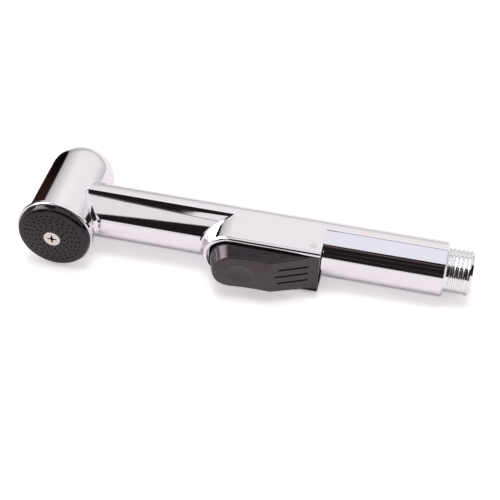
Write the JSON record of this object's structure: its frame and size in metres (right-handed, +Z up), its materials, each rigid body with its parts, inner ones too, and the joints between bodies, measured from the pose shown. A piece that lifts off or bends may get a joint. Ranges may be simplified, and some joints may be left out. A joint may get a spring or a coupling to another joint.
{
  "type": "handheld bath sprayer",
  "caption": "Chrome handheld bath sprayer with a domed head, a perforated black spray plate, a thumb lever that opens an inner valve, and a threaded hose end.",
  "frame": {"origin": "on the handle axis, in the plane of the shoulder where the hose nut stops", "axes": "+X along the handle axis out of the hose end, -Y the way the spray leaves, +Z up with the sprayer lying on its side"},
  "size_m": [0.1957, 0.0584, 0.0338],
  "materials": {
    "chrome_plastic": "mirror chrome plating on moulded plastic",
    "chrome_ring": "mirror chrome plating",
    "chrome_brass": "chrome plating on brass",
    "black_plate": "satin black moulded plastic",
    "black_lever": "satin black moulded plastic",
    "stainless": "bright stainless steel",
    "steel_pin": "bright steel",
    "spring_steel": "drawn stainless wire",
    "brass": "turned brass",
    "rubber": "black nitrile rubber",
    "inner_plastic": "plain moulded plastic"
  },
  "bodies": {
    "handle": {"shell": "chrome_plastic", "face_ring": "chrome_ring", "spray_plate": "black_plate", "plate_screw": "stainless", "inlet_nipple": "chrome_brass", "pivot_pin": "steel_pin", "plate_gasket": "rubber", "nozzle_carrier": "inner_plastic", "screw_insert": "brass", "water_tube": "inner_plastic", "water_tube_front_seal": "rubber", "water_tube_rear_seal": "rubber", "valve_body": "inner_plastic", "gland_nut": "brass", "stem_seal": "rubber", "valve_spring": "spring_steel", "spring_plug": "inner_plastic", "plug_seal": "rubber", "feed_tube": "inner_plastic", "feed_tube_front_seal": "rubber", "feed_tube_rear_seal": "rubber", "nipple_seal": "rubber"},
    "trigger": {"trigger_lever": "black_lever"},
    "stem": {"valve_stem": "brass", "valve_disc": "rubber"}
  },
  "joints": [
    {"name": "trigger_hinge", "type": "hinge", "parent": "handle", "child": "trigger", "pos_m": [-0.056, -0.0125, 0], "axis": [0, 0, -1], "range_deg": [0, 5.2], "stiffness_Nm_per_rad": 0.6, "springref_deg": -5.73},
    {"name": "stem_slide", "type": "slide", "parent": "handle", "child": "stem", "axis": [0, 1, 0], "range_m": [0, 0.002], "deforming": ["valve_spring"]}
  ],
  "couplings": [
    {"joint": "stem_slide", "follows": "trigger_hinge", "m_per_rad": 0.0218}
  ]
}
